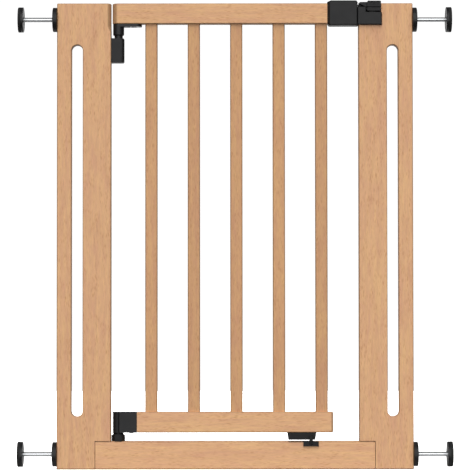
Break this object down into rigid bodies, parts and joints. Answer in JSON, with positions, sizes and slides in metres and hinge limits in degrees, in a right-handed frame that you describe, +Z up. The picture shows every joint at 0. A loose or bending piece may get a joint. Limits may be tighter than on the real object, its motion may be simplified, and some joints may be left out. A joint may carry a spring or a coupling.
{
  "type": "pressure-fit wooden safety gate",
  "caption": "Beech child-safety gate, pressed between two walls by threaded spindles; a slatted leaf with black fittings lifts and swings, and a thumb slide locks it.",
  "frame": {"origin": "on the floor, midway between the wall pads and at mid thickness of the boards", "axes": "+X across the doorway towards the latch post, +Y through the gate to its back, +Z up"},
  "size_m": [0.76, 0.044, 0.8195],
  "materials": {
    "beech": "clear satin lacquer",
    "black_nylon": "fine matt moulding",
    "black_rubber": "matt",
    "zinc_steel": "bright zinc plating",
    "black_steel": "black oxide"
  },
  "bodies": {
    "frame": {"left_post": "beech", "right_post": "beech", "threshold_rail": "beech", "lap_screws": "zinc_steel", "hinge_socket": "black_nylon", "socket_screw": "black_steel", "hinge_foot": "black_nylon", "keeper_front": "black_nylon", "keeper_rear": "black_nylon", "keeper_screws": "zinc_steel", "slide_spring": "zinc_steel", "stop_tab": "black_nylon", "stop_tab_screw": "black_steel"},
    "hinge_pin": {"lower_hinge_pin": "black_steel"},
    "leaf": {"top_rail": "beech", "bottom_rail": "beech", "slat_1": "beech", "slat_2": "beech", "slat_3": "beech", "slat_4": "beech", "slat_5": "beech", "lock_case_front": "black_nylon", "lock_case_rear": "black_nylon", "lock_case_screws": "zinc_steel", "upper_hinge_bracket": "black_nylon", "upper_hinge_pin": "black_nylon", "upper_bracket_screws": "zinc_steel", "lower_hinge_bracket": "black_nylon", "lower_bracket_screw": "black_steel", "stop_block": "black_nylon", "stop_block_screws": "zinc_steel"},
    "lock_slide": {"lock_slide": "black_nylon"},
    "wheel_left_top": {"wheel_left_top": "black_nylon", "nut_left_top": "zinc_steel"},
    "spindle_left_top": {"rod_left_top": "zinc_steel", "pad_left_top": "black_nylon", "rubber_left_top": "black_rubber"},
    "wheel_left_low": {"wheel_left_low": "black_nylon", "nut_left_low": "zinc_steel"},
    "spindle_left_low": {"rod_left_low": "zinc_steel", "pad_left_low": "black_nylon", "rubber_left_low": "black_rubber"},
    "wheel_right_top": {"wheel_right_top": "black_nylon", "nut_right_top": "zinc_steel"},
    "spindle_right_top": {"rod_right_top": "zinc_steel", "pad_right_top": "black_nylon", "rubber_right_top": "black_rubber"},
    "wheel_right_low": {"wheel_right_low": "black_nylon", "nut_right_low": "zinc_steel"},
    "spindle_right_low": {"rod_right_low": "zinc_steel", "pad_right_low": "black_nylon", "rubber_right_low": "black_rubber"}
  },
  "joints": [
    {"name": "leaf_swing", "type": "hinge", "parent": "frame", "child": "hinge_pin", "pos_m": [-0.204, 0, 0], "axis": [0, 0, 1], "range_deg": [0, 90]},
    {"name": "leaf_lift", "type": "slide", "parent": "hinge_pin", "child": "leaf", "axis": [0, 0, 1], "range_m": [0, 0.012]},
    {"name": "lock_slide_travel", "type": "slide", "parent": "frame", "child": "lock_slide", "axis": [-1, 0, 0], "range_m": [0, 0.01]},
    {"name": "wheel_turn_left_top", "type": "hinge", "parent": "frame", "child": "wheel_left_top", "pos_m": [-0.3158, 0, 0.787], "axis": [-1, 0, 0], "range_deg": [0, 11520]},
    {"name": "spindle_travel_left_top", "type": "slide", "parent": "frame", "child": "spindle_left_top", "axis": [1, 0, 0], "range_m": [0, 0.04]},
    {"name": "wheel_turn_left_low", "type": "hinge", "parent": "frame", "child": "wheel_left_low", "pos_m": [-0.3158, 0, 0.026], "axis": [-1, 0, 0], "range_deg": [0, 11520]},
    {"name": "spindle_travel_left_low", "type": "slide", "parent": "frame", "child": "spindle_left_low", "axis": [1, 0, 0], "range_m": [0, 0.04]},
    {"name": "wheel_turn_right_top", "type": "hinge", "parent": "frame", "child": "wheel_right_top", "pos_m": [0.3158, 0, 0.787], "axis": [1, 0, 0], "range_deg": [0, 11520]},
    {"name": "spindle_travel_right_top", "type": "slide", "parent": "frame", "child": "spindle_right_top", "axis": [-1, 0, 0], "range_m": [0, 0.04]},
    {"name": "wheel_turn_right_low", "type": "hinge", "parent": "frame", "child": "wheel_right_low", "pos_m": [0.3158, 0, 0.026], "axis": [1, 0, 0], "range_deg": [0, 11520]},
    {"name": "spindle_travel_right_low", "type": "slide", "parent": "frame", "child": "spindle_right_low", "axis": [-1, 0, 0], "range_m": [0, 0.04]}
  ],
  "couplings": [
    {"joint": "wheel_turn_left_top", "follows": "spindle_travel_left_top", "rad_per_m": 5026.5},
    {"joint": "wheel_turn_left_low", "follows": "spindle_travel_left_low", "rad_per_m": 5026.5},
    {"joint": "wheel_turn_right_top", "follows": "spindle_travel_right_top", "rad_per_m": 5026.5},
    {"joint": "wheel_turn_right_low", "follows": "spindle_travel_right_low", "rad_per_m": 5026.5}
  ]
}
